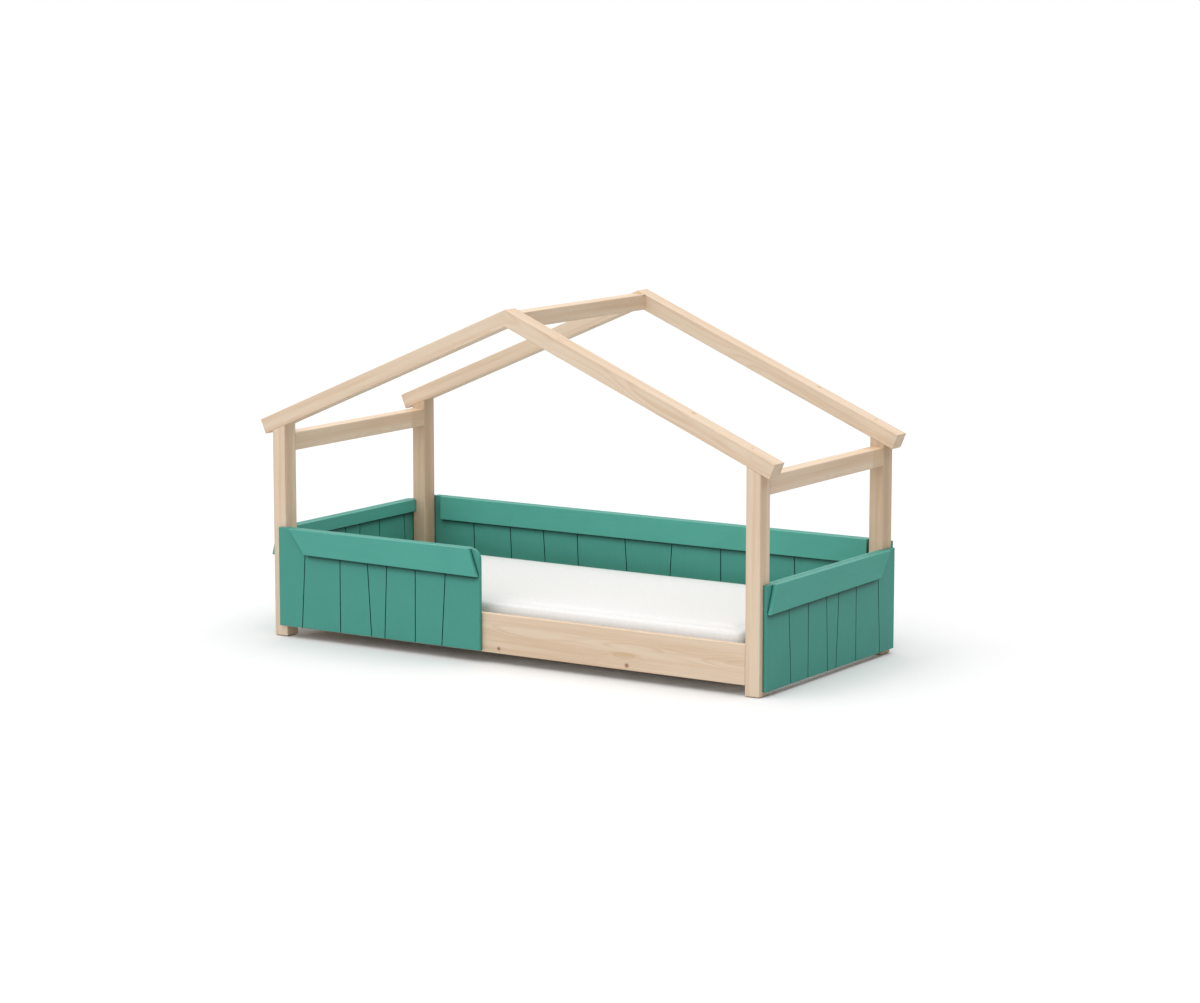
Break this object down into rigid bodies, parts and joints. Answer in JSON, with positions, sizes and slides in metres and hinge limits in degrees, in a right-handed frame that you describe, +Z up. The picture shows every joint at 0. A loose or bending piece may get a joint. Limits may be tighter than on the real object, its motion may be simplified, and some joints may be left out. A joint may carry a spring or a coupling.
{
  "type": "house frame bed",
  "caption": "Low child's bed in a pitched-roof house frame of square timber, with painted plank guard panels round the sleeping place, a slatted base and a loose mattress.",
  "frame": {"origin": "on the floor, under the middle of the bed's outline", "axes": "+X along the bed to the right as seen from the open front side, +Y from the front side to the back, +Z up"},
  "size_m": [2.315, 1.064, 1.3451],
  "materials": {
    "timber": "matte",
    "green_paint": "satin",
    "mattress_cover": "matte",
    "webbing": "matte",
    "steel": "satin",
    "dowel_wood": "matte",
    "glide_plastic": "matte"
  },
  "bodies": {
    "frame": {"apex_studs": "steel", "corner_brackets": "steel", "eaves_rail_left": "timber", "eaves_rail_right": "timber", "end_rail_left": "timber", "end_rail_right": "timber", "foot_glides": "glide_plastic", "front_panel": "green_paint", "front_trim_inner": "green_paint", "front_trim_outer": "green_paint", "half_moon_nuts": "steel", "hanger_bolts": "steel", "ledger_front": "timber", "ledger_rear": "timber", "left_panel": "green_paint", "left_trim_inner": "green_paint", "left_trim_outer": "green_paint", "post_front_left": "timber", "post_front_right": "timber", "post_rear_left": "timber", "post_rear_right": "timber", "rafter_front_left": "timber", "rafter_front_right": "timber", "rafter_rear_left": "timber", "rafter_rear_right": "timber", "rail_dowels": "dowel_wood", "rear_panel": "green_paint", "rear_trim_inner": "green_paint", "rear_trim_outer": "green_paint", "ridge_beam": "timber", "right_panel": "green_paint", "right_trim_inner": "green_paint", "right_trim_outer": "green_paint", "roof_dowels": "dowel_wood", "side_rail_front": "timber", "side_rail_rear": "timber", "slat_01": "timber", "slat_02": "timber", "slat_03": "timber", "slat_04": "timber", "slat_05": "timber", "slat_06": "timber", "slat_07": "timber", "slat_08": "timber", "slat_09": "timber", "slat_10": "timber", "slat_11": "timber", "slat_12": "timber", "slat_13": "timber", "slat_14": "timber", "slat_strap_front": "webbing", "slat_strap_rear": "webbing"},
    "mattress": {"mattress": "mattress_cover"}
  },
  "joints": [
    {"name": "mattress_lift", "type": "slide", "parent": "frame", "child": "mattress", "axis": [0, 0, 1], "range_m": [0, 0.35]}
  ]
}
